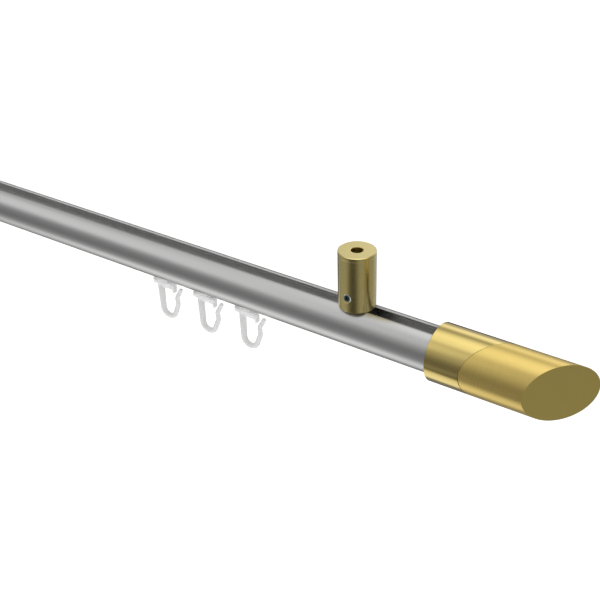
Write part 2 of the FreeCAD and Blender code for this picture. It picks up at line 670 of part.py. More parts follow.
def make_glider(label, x_at):
    body = new_body(label + "_runner")
    half_plate = "(Sizes.plate_length / 2)"
    half_head = "(Sizes.head_length / 2)"
    half_neck = "(Sizes.neck_length / 2)"
    tooth_end = f"({half_plate} + Sizes.tooth_reach)"

    plate = new_sketch(body, label + "_plate", "XZ_Plane")
    draw_box(plate, f"-{half_plate}", half_plate, PLATE_UNDERSIDE, PLATE_TOP)
    feature = pad(body, plate, "Sizes.plate_width")
    round_corners(body, label + "_plate_corners", feature, "Sizes.plate_corner",
                  half_plate, "Sizes.plate_width / 2")

    rib = new_sketch(body, label + "_rib", "XZ_Plane")
    middle = f"{PLATE_TOP} - Sizes.plate_height / 2"
    rib_low = f"{PLATE_UNDERSIDE} - Sizes.rib_height"
    tooth_low = f"{PLATE_UNDERSIDE} - Sizes.tooth_height"
    draw_polygon(rib, [
        ("-Sizes.hook_offset", middle),
        ("-Sizes.hook_offset", rib_low),
        (f"{tooth_end} - Sizes.tooth_length", rib_low),
        (f"{tooth_end} - Sizes.tooth_length", tooth_low),
        (f"{tooth_end} - Sizes.tooth_slant_length", tooth_low),
        (tooth_end, f"{tooth_low} + Sizes.tooth_slant_height"),
        (tooth_end, middle),
    ])
    pad(body, rib, "Sizes.rib_width")

    neck = new_sketch(body, label + "_neck", "XZ_Plane")
    draw_box(neck, f"-{half_neck}", half_neck, middle, HEAD_UNDERSIDE)
    pad(body, neck, "Sizes.channel_width - 2 * Sizes.neck_gap")

    head = new_sketch(body, label + "_head", "XZ_Plane")
    draw_box(head, f"-{half_head}", half_head, HEAD_UNDERSIDE,
             f"{HEAD_UNDERSIDE} + Sizes.head_height")
    feature = pad(body, head, f"2 * {HEAD_HALF}")
    round_corners(body, label + "_head_corners", feature, "Sizes.head_corner",
                  half_head, HEAD_HALF)

    glider = doc.addObject("Part::MultiFuse", label)
    glider.Shapes = [body] + make_hook(label)
    place(glider, x_at, AXIS_HEIGHT)
    doc.recompute()
    return glider


def glider_places():
    """Where the gliders hang: three together near the right-hand post, the rest spread out."""
    last = f"({POST_X} - Sizes.glider_inset)"
    together = [f"{last} - {step} * Sizes.glider_pitch" for step in (2, 1, 0)]
    loose_number = int(measure("Sizes.loose_count"))
    first = f"-{last}"
    loose = [f"{first} + {step} * Sizes.loose_pitch" for step in range(loose_number)]
    return loose + together


pieces = [make_rail()]
for side, name in ((-1, "left"), (1, "right")):
    post_at = f"{side} * {POST_X}"
    pieces.append(make_post(f"post_{name}", post_at))
    pieces.append(make_spigot(f"post_spigot_{name}", post_at))
    pieces.append(make_slot_nut(f"slot_nut_{name}", post_at))
    pieces.append(make_post_grub_screw(f"post_grub_screw_{name}", post_at))
    pieces.append(make_finial_sleeve(f"finial_sleeve_{name}", side))
    pieces.append(make_finial_tip(f"finial_tip_{name}", side))
    pieces.append(make_joint_screw(f"finial_joint_screw_{name}", side))
    pieces.append(make_finial_grub_screw(f"finial_grub_screw_{name}", side))
for number, glider_x in enumerate(glider_places(), start=1):
    pieces.append(make_glider(f"glider_{number:02d}", glider_x))
doc.recompute()

broken = [item.Label for item in doc.Objects
          if "Invalid" in item.State or "Error" in item.State]
broken += [piece.Label for piece in pieces
           if piece.Shape.isNull() or not piece.Shape.isValid()]
if broken:
    raise ValueError("These failed: " + ", ".join(broken))

os.makedirs("parts", exist_ok=True)
for piece in pieces:
    piece.Shape.exportStep(f"parts/{piece.Label}.step")
    solids = len(piece.Shape.Solids)
    print(f"{piece.Label}: {solids} solid, {piece.Shape.Volume:.1f} mm3")
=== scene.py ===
# %% [markdown]
# # A curtain track with brass finials, dressed in Blender
#
# The track hangs from a ceiling: a round aluminium rail with a slot along its top, two
# turned brass posts, a two-part brass finial at each end, and eight milky plastic gliders.
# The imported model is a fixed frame. Every piece below goes where that frame says, and the
# lesson shows how each one is shaped and finished.

# %% Load the frame
import math

import bmesh
import bpy
from mathutils import Matrix, Vector


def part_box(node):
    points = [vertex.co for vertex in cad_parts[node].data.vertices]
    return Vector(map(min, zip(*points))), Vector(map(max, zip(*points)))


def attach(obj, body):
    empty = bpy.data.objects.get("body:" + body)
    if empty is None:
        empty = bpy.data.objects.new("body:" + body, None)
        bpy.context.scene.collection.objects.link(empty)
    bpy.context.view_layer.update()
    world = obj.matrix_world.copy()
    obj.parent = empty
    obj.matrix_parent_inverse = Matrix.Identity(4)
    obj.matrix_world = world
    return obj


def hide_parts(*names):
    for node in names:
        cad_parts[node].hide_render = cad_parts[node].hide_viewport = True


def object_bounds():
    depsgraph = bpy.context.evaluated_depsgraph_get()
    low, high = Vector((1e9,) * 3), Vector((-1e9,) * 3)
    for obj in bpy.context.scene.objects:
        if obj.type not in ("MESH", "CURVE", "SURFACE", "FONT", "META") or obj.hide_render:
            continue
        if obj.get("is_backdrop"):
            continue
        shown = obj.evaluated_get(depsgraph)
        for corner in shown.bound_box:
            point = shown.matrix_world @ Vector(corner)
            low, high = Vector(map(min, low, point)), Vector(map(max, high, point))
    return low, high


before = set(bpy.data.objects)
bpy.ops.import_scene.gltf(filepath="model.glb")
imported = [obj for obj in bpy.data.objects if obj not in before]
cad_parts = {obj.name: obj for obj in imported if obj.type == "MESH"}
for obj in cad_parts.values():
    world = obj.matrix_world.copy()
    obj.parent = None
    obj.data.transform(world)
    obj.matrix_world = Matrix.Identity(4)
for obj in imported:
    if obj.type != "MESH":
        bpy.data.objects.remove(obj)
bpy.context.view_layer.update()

MM = 0.001

# %% [markdown]
# ## Sizes
#
# The sizes are those of the construction model, in millimetres here because the pieces are
# small. The places come from the frame itself: the foot of a post gives the height of the
# rail, since the post stands on the two lips of the rail's slot.

# %% Sizes and places
RAIL_RADIUS, RAIL_WALL = 10.0, 1.0
SLOT_HALF, SLOT_FLOOR, WEB_UNDERSIDE = 3.3, 4.0, 2.8
MOUTH_HALF, LEDGE_HEIGHT = 2.1, -7.9
POST_RADIUS, POST_CAP, POST_BORE, SCREW_HOLE = 8.0, 4.0, 5.1, 2.55
GRUB_RADIUS, THREAD_GAP, GRUB_HEIGHT = 2.0, 0.05, 6.4
FINIAL_RADIUS, SLEEVE_BORE, SLEEVE_FLOOR, HEAD_SEAT = 12.5, 10.1, 16.0, 21.0
HEAD_ROOM, SHANK_ROOM, TAPPED_RADIUS, TAPPED_END = 4.6, 2.65, 2.55, 38.5
SEAM_AT, CUT_AT, SLANT = 25.9, 53.3, math.tan(math.radians(40))
FINIAL_GRUB_AT = 7.0

post_low, post_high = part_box("post_right")
POST_X = (post_low.x + post_high.x) / 2 / MM
FOOT_Z = post_low.z / MM
AXIS_Z = FOOT_Z - math.sqrt(RAIL_RADIUS ** 2 - SLOT_HALF ** 2)
RAIL_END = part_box("rail")[1].x / MM
RIM_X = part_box("finial_sleeve_right")[0].x / MM
print(f"posts at {POST_X:.1f}, rail axis {AXIS_Z:.3f}, rail end {RAIL_END:.1f}, rim {RIM_X:.1f}")

# %% [markdown]
# ## Camera
#
# The photograph looks down on the right-hand end of the track from the room side, with a
# short telephoto lens. A camera can be aimed with a Track To constraint, but a turn given
# as three plain angles says more: first the roll, then the tilt, then the swing to the left.

# %% Camera
CAMERA_PLACE = Vector((0.576035, -0.35459, 0.226725))
CAMERA_SWING, CAMERA_TILT, CAMERA_ROLL = 36.296, 30.564, -1.652
LENS = 70.972

camera = bpy.data.objects.new("camera", bpy.data.cameras.new("camera"))
camera.data.lens = LENS
camera.data.sensor_width = 36
camera.data.clip_start = 0.01
camera.data.clip_end = 100
swing = Matrix.Rotation(math.radians(CAMERA_SWING), 4, "Z")
tilt = Matrix.Rotation(math.radians(90 - CAMERA_TILT), 4, "X")
roll = Matrix.Rotation(math.radians(CAMERA_ROLL), 4, "Z")
camera.matrix_world = Matrix.Translation(CAMERA_PLACE) @ swing @ tilt @ roll
bpy.context.scene.collection.objects.link(camera)
bpy.context.scene.camera = camera
bpy.context.scene.view_settings.view_transform = "Standard"
print("camera at", tuple(round(value, 3) for value in camera.location), "lens", LENS)

# %% [markdown]
# ## A helper for node trees
#
# Materials, the world and Geometry Nodes are all trees of nodes. Written out link by link
# they get long, so one small class adds a node, sets its inputs, and joins any input that
# is given as another node's output.

# %% Node helper
class Tree:
    """Adds nodes to one tree. An input may be a plain value or another node's output."""

    def __init__(self, tree):
        self.tree = tree

    def add(self, kind, inputs=None, **settings):
        """Add a node. Inputs go into its sockets, settings are its own properties."""
        node = self.tree.nodes.new(kind)
        for name, value in settings.items():
            setattr(node, name, value)
        for name, value in (inputs or {}).items():
            socket = node.inputs[name]
            if isinstance(value, bpy.types.NodeSocket):
                self.tree.links.new(value, socket)
            else:
                socket.default_value = value
        return node

    def math(self, operation, *values):
        """Calculate with values or outputs."""
        inputs = dict(enumerate(values))
        return self.add("ShaderNodeMath", inputs, operation=operation).outputs[0]

    def scale(self, value, low, high, new_low, new_high):
        """Stretch a value from one range to another."""
        inputs = {"Value": value, "From Min": low, "From Max": high,
                  "To Min": new_low, "To Max": new_high}
        return self.add("ShaderNodeMapRange", inputs).outputs["Result"]


print("node helper ready")

# %% [markdown]
# ## World
#
# Polished metal shows little but what stands round it, so the surroundings make its look.
# A studio would set up softboxes and dark cards. Here the world does that by direction: a
# soft curve from the floor up gives the overall bands, and a few soft windows add the
# bright patches. A window with less than no light is a dark card. Matt surfaces get one
# even light, and the camera itself sees plain white behind the object.

# %% World
WORLD_BANDS = [(-90, 0.16), (-60, 0.31), (-45, 0.30), (-32, 0.28), (-20, 0.15), (-8, 0.14),
               (4, 0.20), (14, 0.31), (26, 0.41), (40, 0.29), (60, 0.14), (90, 0.13)]
# Each window: azimuth from +X, elevation and radius in degrees, and light at its middle.
WINDOWS = [(102, 29, 22, 0.51), (112, 85, 42, 1.05), (-150, -57, 26, 0.69),
           (-145, 40, 31, 0.49), (-82, -55, 42, -0.30), (100, 9, 70, 0.20),
           (126, -28, 31, -0.49), (152, -54, 22, -0.09)]
MATT_LIGHT = 0.85

world = bpy.data.worlds.new("studio")
bpy.context.scene.world = world
world.use_nodes = True
world.node_tree.nodes.clear()
sky = Tree(world.node_tree)
direction = sky.add("ShaderNodeTexCoord").outputs["Generated"]
height = sky.add("ShaderNodeSeparateXYZ", {"Vector": direction}).outputs["Z"]
bands = sky.add("ShaderNodeValToRGB", {"Fac": sky.scale(height, -1, 1, 0, 1)})
bands.color_ramp.interpolation = "LINEAR"
stops = bands.color_ramp.elements
for elevation, light in WORLD_BANDS:
    place = (math.sin(math.radians(elevation)) + 1) / 2
    ends = {-90: stops[0], 90: stops[len(stops) - 1]}
    stop = ends[elevation] if elevation in ends else stops.new(place)
    stop.color = (light, light, light, 1)
total = bands.outputs["Color"]
for azimuth, elevation, radius, light in WINDOWS:
    flat = math.cos(math.radians(elevation))
    centre = (flat * math.cos(math.radians(azimuth)), flat * math.sin(math.radians(azimuth)),
              math.sin(math.radians(elevation)))
    near = sky.add("ShaderNodeVectorMath", {0: direction, 1: centre}, operation="DOT_PRODUCT")
    window = sky.add("ShaderNodeMapRange", {
        "Value": near.outputs["Value"], "From Min": math.cos(math.radians(radius)),
        "From Max": 1, "To Min": 0, "To Max": light},
        interpolation_type="SMOOTHERSTEP")
    total = sky.math("ADD", total, window.outputs["Result"])
total = sky.math("MAXIMUM", total, 0)
mirrored = sky.add("ShaderNodeBackground", {"Color": total})
white = sky.add("ShaderNodeBackground", {"Color": (1, 1, 1, 1)})
even_light = sky.add("ShaderNodeBackground", {
    "Color": (MATT_LIGHT, MATT_LIGHT, MATT_LIGHT, 1)})
ray = sky.add("ShaderNodeLightPath").outputs
first = sky.add("ShaderNodeMixShader", {0: ray["Is Glossy Ray"], 1: even_light.outputs[0],
                                        2: mirrored.outputs[0]})
both = sky.add("ShaderNodeMixShader", {0: ray["Is Camera Ray"], 1: first.outputs[0],
                                       2: white.outputs[0]})
sky.add("ShaderNodeOutputWorld", {"Surface": both.outputs[0]})
world.cycles.sampling_method = "NONE"
print("world with", len(WORLD_BANDS), "bands and", len(WINDOWS), "windows")

# %% [markdown]
# ## Floor and lamps
#
# The floor is plain and pale, far enough below the hanging track to take no shadow from it.
# It doesn't show in reflections, where the world already stands for it. Two wide lamps
# reach only matt surfaces, so they light the plastic and leave the metal to the world.

# %% Floor and lamps
FLOOR_Z, FLOOR_HALF = -1.4, 30
FLOOR_GLOW = 0.45


def new_object(name, mesh):
    """Link a mesh into the scene as an object at the origin."""
    piece = bpy.data.objects.new(name, mesh)
    bpy.context.scene.collection.objects.link(piece)
    return piece


floor_mesh = bpy.data.meshes.new("floor")
corners = [(-FLOOR_HALF, -FLOOR_HALF), (FLOOR_HALF, -FLOOR_HALF),
           (FLOOR_HALF, FLOOR_HALF), (-FLOOR_HALF, FLOOR_HALF)]
floor_mesh.from_pydata([(x, y, FLOOR_Z) for x, y in corners], [], [(0, 1, 2, 3)])
floor = new_object("floor", floor_mesh)
floor_material = bpy.data.materials.new("pale_floor")
floor_material.use_nodes = True
floor_shader = floor_material.node_tree.nodes["Principled BSDF"]
floor_shader.inputs["Base Color"].default_value = (0.9, 0.9, 0.9, 1)
floor_shader.inputs["Roughness"].default_value = 0.9
floor_shader.inputs["Emission Color"].default_value = (1, 1, 1, 1)
floor_shader.inputs["Emission Strength"].default_value = FLOOR_GLOW
floor_mesh.materials.append(floor_material)
floor.visible_glossy = False
floor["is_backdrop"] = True

# Each lamp: name, place and size in metres, and power in watts.
LAMPS = [("lamp_front", (1.1, -1.6, 1.4), 1.6, 3), ("lamp_back", (-0.8, 1.3, 1.7), 1.8, 2)]
LAMP_AIM = Vector((0.2, 0, 0))
for name, place, size, power in LAMPS:
    light = bpy.data.lights.new(name, "AREA")
    light.size = size
    light.energy = power
    lamp = bpy.data.objects.new(name, light)
    lamp.location = place
    lamp.rotation_mode = "QUATERNION"
    lamp.rotation_quaternion = (LAMP_AIM - Vector(place)).to_track_quat("-Z", "Y")
    lamp.visible_glossy = False
    lamp.visible_camera = False
    bpy.context.scene.collection.objects.link(lamp)
print("floor at", FLOOR_Z, "m and", len(LAMPS), "lamps")

# %% [markdown]
# ## Helpers for materials
#
# Every finish below is the same few nodes in a different measure: a noise that is stretched
# in the direction of the tool, a colour and a gloss that follow it, and a bump. So each of
# them gets a helper, and a material is then a few short lines.

# %% Material helpers
def new_material(name):
    """An empty material, its tree, and the place on the object that is being shaded."""
    material = bpy.data.materials.new(name)
    material.use_nodes = True
    material.node_tree.nodes.clear()
    tree = Tree(material.node_tree)
    return material, tree, tree.add("ShaderNodeTexCoord").outputs["Object"]


def finish_material(tree, looks):
    """End a material's tree in a Principled BSDF that is given as its inputs."""
    shader = tree.add("ShaderNodeBsdfPrincipled", looks)
    tree.add("ShaderNodeOutputMaterial", {"Surface": shader.outputs[0]})


def stretched_noise(tree, vector, scale, detail=2.0):
    """Noise whose grains are 1/scale long on each axis, in metres."""
    mapped = tree.add("ShaderNodeMapping", {"Vector": vector, "Scale": scale})
    inputs = {"Vector": mapped.outputs[0], "Scale": 1, "Detail": detail, "Roughness": 0.5}
    return tree.add("ShaderNodeTexNoise", inputs).outputs["Fac"]


def shade_between(tree, factor, dark, light):
    """A colour between two, by a factor."""
    mix = tree.add("ShaderNodeMix", {"Factor": factor}, data_type="RGBA")
    mix.inputs["A"].default_value = (*dark, 1)
    mix.inputs["B"].default_value = (*light, 1)
    return mix.outputs["Result"]


def uneven(tree, noise, low, high):
    """Stretch a noise, which lies mostly between 0.3 and 0.7, to a range of its own."""
    return tree.scale(noise, 0.3, 0.7, low, high)


def bump(tree, height, strength, depth):
    """A surface that is dented by a noise, at most by the depth in millimetres."""
    inputs = {"Height": height, "Strength": strength, "Distance": depth * MM}
    return tree.add("ShaderNodeBump", inputs).outputs[0]


print("material helpers ready")

# %% [markdown]
# ## Aluminium
#
# The rail is extruded and anodised. Extrusion leaves very fine lines along the whole
# length, and anodising turns the surface satin. Noise that is stretched along the rail
# gives both: a fine one for the bump, and a wider one that makes the gloss uneven. On top
# the colour darkens toward the edges of the slot, as it does in the photograph: that is a
# painted shade along the slot's lips. A second, matt and pale aluminium is for the flat
# sides of that slot.

# %% Aluminium
# A painted shade darkens the rail's top toward the slot's lips: its depth, and its width in mm.
SHADE, SHADE_WIDTH = 0.9, 0.95
TOP_FROM, TOP_FULL = 0.8 * RAIL_RADIUS, 0.85 * RAIL_RADIUS
PLAIN_TONE, TONE_CHANGE = 0.91, 0.09

aluminium, tree, place = new_material("satin_aluminium")
fine = stretched_noise(tree, place, (12, 6000, 6000))
wide = stretched_noise(tree, place, (3, 900, 900))
split = tree.add("ShaderNodeSeparateXYZ", {"Vector": place}).outputs
across = tree.math("ABSOLUTE", split["Y"])
# The painted shade, on the top only, strongest at the slot's lips.
painted_slot_shade = tree.scale(across, SLOT_HALF * MM, (SLOT_HALF + SHADE_WIDTH) * MM, SHADE, 0)
on_top = tree.scale(split["Z"], (AXIS_Z + TOP_FROM) * MM, (AXIS_Z + TOP_FULL) * MM, 0, 1)
lit = tree.math("SUBTRACT", 1, tree.math("MULTIPLY", painted_slot_shade, on_top))
tone = tree.math("MULTIPLY", lit, tree.math("MULTIPLY_ADD", wide, TONE_CHANGE, PLAIN_TONE))
finish_material(tree, {
    "Base Color": shade_between(tree, tone, (0.25, 0.25, 0.25), (0.745, 0.745, 0.74)),
    "Metallic": 0.96,
    "Roughness": uneven(tree, wide, 0.29, 0.35),
    "Normal": bump(tree, fine, 0.25, 0.012)})

matt_aluminium, tree, place = new_material("matt_aluminium")
saw = stretched_noise(tree, place, (60, 3000, 3000))
finish_material(tree, {
    "Base Color": shade_between(tree, saw, (0.88, 0.88, 0.87), (0.95, 0.95, 0.94)),
    "Metallic": 0.0,
    "Roughness": uneven(tree, saw, 0.5, 0.6),
    "Normal": bump(tree, saw, 0.2, 0.008)})
print("made", aluminium.name, matt_aluminium.name)

# %% [markdown]
# ## Brass
#
# Three finishes of one alloy are seen. The posts are turned and lacquered, so fine rings
# run round them and over their top. The face that stands on the rail is dark brass: a
# painted shade, which shows as a contact shadow where the rail reflects it. The sleeves
# are polished. The tips are satin, with their slanted end faces milled flat. One function
# makes all but the milled one: the rings come from the distance to the piece's own axis,
# and a thin clear coat stands for the lacquer.

# %% Brass
# The first pair is a painted shade for the posts' foot faces.
FOOT_SHADE_DARK, FOOT_SHADE_LIGHT = (0.20, 0.15, 0.06), (0.28, 0.22, 0.09)
PALE_DARK, PALE_LIGHT = (0.93, 0.765, 0.27), (0.96, 0.795, 0.285)
GREEN_DARK, GREEN_LIGHT = (0.87, 0.675, 0.215), (0.91, 0.71, 0.23)
WARM_DARK, WARM_LIGHT = (0.88, 0.655, 0.20), (0.92, 0.69, 0.215)


def turned_brass(name, around, dark, light, metal, roughness, spread, coat, ring_depth, ring_pitch):
    """Brass with turned rings about an upright post's axis or about the rail's axis."""
    material, tree, place = new_material(name)
    split = tree.add("ShaderNodeSeparateXYZ", {"Vector": place}).outputs
    if around == "post":
        one = tree.math("SUBTRACT", tree.math("ABSOLUTE", split["X"]), POST_X * MM)
        other, lengthwise = split["Y"], split["Z"]
    else:
        one, lengthwise = split["Y"], split["X"]
        other = tree.math("SUBTRACT", split["Z"], AXIS_Z * MM)
    squares = [tree.math("MULTIPLY", distance, distance) for distance in (one, other)]
    radius = tree.math("SQRT", tree.math("ADD", *squares))
    rings = tree.add("ShaderNodeCombineXYZ", {"X": radius, "Z": lengthwise}).outputs[0]
    per_metre = 1 / (ring_pitch * MM)
    fine = stretched_noise(tree, rings, (per_metre, 1, per_metre), detail=3.0)
    wide = stretched_noise(tree, place, (160, 160, 160), detail=3.0)
    finish_material(tree, {
        "Base Color": shade_between(tree, wide, dark, light),
        "Metallic": metal,
        "Roughness": tree.scale(fine, 0.25, 0.75, roughness - spread, roughness + spread),
        "Coat Weight": coat, "Coat Roughness": 0.08, "Coat IOR": 1.6,
        "Normal": bump(tree, fine, 0.3, ring_depth)})
    return material


post_brass = turned_brass("turned_brass", "post", PALE_DARK, PALE_LIGHT, metal=0.98,
                          roughness=0.21, spread=0.02, coat=1.0, ring_depth=0.004,
                          ring_pitch=0.22)
# A painted shade: dark brass on the face that each post stands on.
foot_shade_brass = turned_brass("foot_shade_brass", "post", FOOT_SHADE_DARK, FOOT_SHADE_LIGHT, metal=0.7, roughness=0.5,
                         spread=0.05, coat=0.0, ring_depth=0.01, ring_pitch=0.3)
sleeve_brass = turned_brass("polished_brass", "rail", GREEN_DARK, GREEN_LIGHT, metal=1.0,
                            roughness=0.12, spread=0.01, coat=0.6, ring_depth=0.0012,
                            ring_pitch=0.3)
tip_brass = turned_brass("satin_brass", "rail", WARM_DARK, WARM_LIGHT, metal=0.9,
                         roughness=0.28, spread=0.01, coat=0.0, ring_depth=0.0004,
                         ring_pitch=0.3)
print("made", post_brass.name, foot_shade_brass.name, sleeve_brass.name, tip_brass.name)

# %% [markdown]
# ## Milled brass
#
# The slanted end faces were cut across, not turned, so their lines are straight. They run
# along the slope of the cut. A separate material on those faces keeps the two patterns
# apart, as a change of tool does on the real piece.

# %% Milled brass
milled_brass, tree, place = new_material("milled_brass")
strokes = stretched_noise(tree, place, (40, 40, 5200))
cloud = stretched_noise(tree, place, (130, 130, 130), detail=3.0)
finish_material(tree, {
    "Base Color": shade_between(tree, cloud, (0.95, 0.745, 0.22), (0.98, 0.775, 0.24)),
    "Metallic": 1.0,
    "Roughness": uneven(tree, strokes, 0.36, 0.42),
    "Normal": bump(tree, strokes, 0.2, 0.006)})
print("made", milled_brass.name)

# %% [markdown]
# ## Steel and plastic
#
# The spigots and the screws inside the finials are zinc-plated steel, cool and a little
# mottled. The grub screws are blackened, with a pale chamfer that is partly bare cut steel
# and partly a painted highlight. The nuts in the slot are painted dark, a painted shade for
# the slot's shadow. The gliders are moulded in a milky plastic that lets some light
# through, so light also travels under the surface. It is painted whiter toward the plate,
# partly as thick milky plastic looks and partly as painted light against the shade under
# the rail. A fine grain keeps it from looking like glazed china.

# %% Steel and plastic
steel, tree, place = new_material("zinc_plated_steel")
mottle = stretched_noise(tree, place, (900, 900, 900), detail=4.0)
scratches = stretched_noise(tree, place, (4200, 700, 4200))
finish_material(tree, {
    "Base Color": shade_between(tree, mottle, (0.68, 0.71, 0.75), (0.80, 0.82, 0.85)),
    "Metallic": 0.75,
    "Roughness": uneven(tree, mottle, 0.16, 0.3),
    "Normal": bump(tree, scratches, 0.2, 0.01)})


def mottled_steel(name, grain, dark, light, metallic, gloss, dent, coat=0.0):
    """Steel whose colour, gloss and surface all follow one cloudy noise."""
    material, tree, place = new_material(name)
    mottle = stretched_noise(tree, place, (1 / (grain * MM),) * 3, detail=4.0)
    finish_material(tree, {
        "Base Color": shade_between(tree, mottle, dark, light),
        "Metallic": metallic,
        "Roughness": uneven(tree, mottle, *gloss),
        "Coat Weight": coat, "Coat Roughness": 0.1,
        "Normal": bump(tree, mottle, dent, 0.01)})
    return material


blackened = mottled_steel("blackened_steel", 0.8, (0.15, 0.21, 0.24), (0.32, 0.39, 0.42),
                          metallic=1.0, gloss=(0.14, 0.24), dent=0.15, coat=0.7)
# A painted shade: near-black steel for the nuts in the slot's shadow.
slot_shade_steel = mottled_steel("painted_shade_steel", 0.8, (0.04, 0.04, 0.035), (0.09, 0.085, 0.07),
                      metallic=0.9, gloss=(0.3, 0.45), dent=0.15)
# Pale steel for the outer chamfers: partly bare cut metal, partly a painted highlight.
cut_and_highlight_steel = mottled_steel("cut_steel_and_painted_highlight", 0.65, (0.80, 0.86, 0.84), (0.92, 0.96, 0.94),
                             metallic=0.15, gloss=(0.22, 0.34), dent=0.1)

# Both levels are in millimetres below the rail's axis: the hook's strand and the plate.
THIN_BELOW, THICK_ABOVE = 16.6, 12.8
THICK_AND_PAINTED_WHITE, FLOW_CHANGE = 0.85, 0.15

plastic, tree, place = new_material("milky_plastic")
grain = stretched_noise(tree, place, (2600, 2600, 2600), detail=3.0)
flow = stretched_noise(tree, place, (220, 220, 120))
height = tree.add("ShaderNodeSeparateXYZ", {"Vector": place}).outputs["Z"]
# Whiter toward the plate: partly thick milky plastic, partly painted light against the rail's
# shade.
thick_and_painted_light = tree.scale(height, (AXIS_Z - THIN_BELOW) * MM, (AXIS_Z - THICK_ABOVE) * MM,
                       0, THICK_AND_PAINTED_WHITE)
whiteness = tree.math("MULTIPLY_ADD", flow, FLOW_CHANGE, thick_and_painted_light)
finish_material(tree, {
    "Base Color": shade_between(tree, whiteness, (0.53, 0.53, 0.525), (0.745, 0.745, 0.745)),
    "Roughness": uneven(tree, grain, 0.30, 0.38),
    "IOR": 1.53,
    "Subsurface Weight": 1.0, "Subsurface Radius": (1.0, 1.0, 1.0), "Subsurface Scale": 0.006,
    "Normal": bump(tree, grain, 0.12, 0.02)})
print("made", steel.name, blackened.name, slot_shade_steel.name, cut_and_highlight_steel.name, plastic.name)

# %% [markdown]
# ## From working object to finished piece
#
# Modifiers do most of the shaping, but a finished piece is a plain mesh at the origin that
# rides on a body of the frame. These helpers bake the modifiers in, mark the sharp edges,
# shade the rest smooth, and hide the nodes that the piece stands for.

# %% Finishing helpers
SHARP_ANGLE = math.radians(32)
# A Weighted Normal modifier is neutral at 50, and at 100 the large faces count most.
LARGE_FACES_FIRST = 100


def bake(work, name):
    """The object's shape with its modifiers applied, as a new mesh."""
    graph = bpy.context.evaluated_depsgraph_get()
    mesh = bpy.data.meshes.new_from_object(work.evaluated_get(graph))
    mesh.name = name
    bpy.data.objects.remove(work)
    return mesh


def keep_sharp(mesh):
    """Shade smooth, apart from the sharp edges."""
    mesh.shade_smooth()
    mesh.set_sharp_from_angle(angle=SHARP_ANGLE)


def smooth(mesh):
    """Shade smooth between sharp edges, with the large faces deciding the direction."""
    keep_sharp(mesh)
    work = new_object(mesh.name + "_work", mesh)
    weigh = work.modifiers.new("large_faces_first", "WEIGHTED_NORMAL")
    weigh.weight = LARGE_FACES_FIRST
    weigh.keep_sharp = True
    return bake(work, mesh.name)


def install(name, mesh, body, slot, *nodes):
    """Put a finished mesh in the scene, on its body, for the nodes that it stands for."""
    piece = new_object(name, mesh)
    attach(piece, body)
    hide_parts(*nodes)
    low = [min(v.co[axis] for v in mesh.vertices) / MM for axis in range(3)]
    high = [max(v.co[axis] for v in mesh.vertices) / MM for axis in range(3)]
    print(name, len(mesh.polygons), "faces,", [round(b - a, 2) for a, b in zip(low, high)], "mm")


# %% [markdown]
# ## Helpers for Geometry Nodes
#
# A tree is built once and then put on an object as a modifier. Its inputs have plain names
# in the modifier's panel, but a script sets them by the identifiers of their sockets. Each
# tree ends in Realize Instances, so that copies turn into mesh, and in Set Material.

# %% Geometry Nodes helpers
def new_node_group(name, inputs):
    """A Geometry Nodes tree with named inputs. Returns the tree, its inputs and their ids."""
    group = bpy.data.node_groups.new(name, "GeometryNodeTree")
    group.interface.new_socket("Geometry", in_out="INPUT", socket_type="NodeSocketGeometry")
    group.interface.new_socket("Geometry", in_out="OUTPUT", socket_type="NodeSocketGeometry")
    ids = {}
    for label, kind in inputs.items():
        socket = group.interface.new_socket(label, in_out="INPUT", socket_type=kind)
        ids[label] = socket.identifier
    tree = Tree(group)
    return tree, tree.add("NodeGroupInput").outputs, ids


def close_tree(tree, geometry, material):
    """End a tree in Realize Instances and Set Material."""
    real = tree.add("GeometryNodeRealizeInstances", {"Geometry": geometry})
    painted = tree.add("GeometryNodeSetMaterial",
                       {"Geometry": real.outputs[0], "Material": material})
    tree.add("NodeGroupOutput", {0: painted.outputs[0]})


def run_tree(work, tree, ids, values):
    """Put the tree on an object as a modifier, with its inputs set by identifier."""
    modifier = work.modifiers.new("shape", "NODES")
    modifier.node_group = tree.tree
    for label, value in values.items():
        modifier[ids[label]] = value


def poly_curve(name, points):
    """A curve of straight lines through points in millimetres, as a working object."""
    curve = bpy.data.curves.new(name, "CURVE")
    curve.dimensions = "3D"
    spline = curve.splines.new("POLY")
    spline.points.add(len(points) - 1)
    for knot, point in zip(spline.points, points):
        knot.co = (*(value * MM for value in point), 1)
    return new_object(name + "_work", curve), spline


print("Geometry Nodes helpers ready")

# %% [markdown]
# ## Rail
#
# An extrusion is one drawing pushed through a die, so the natural way to make it is one
# closed outline carried along a line. Geometry Nodes do that with Curve to Mesh, and the
# length stays an input. A narrow Bevel then rounds the lips of the slot and the channel,
# because no die has knife edges, and those lips catch the light.

# %% Rail outline
ARC_STEP = math.radians(3)


def arc(radius, start, end):
    """Points on an arc about the rail's axis, both ends included, angles from +Y."""
    steps = max(2, round(abs(end - start) / ARC_STEP))
    angles = [start + (end - start) * step / steps for step in range(steps + 1)]
    return [(radius * math.cos(angle), radius * math.sin(angle)) for angle in angles]


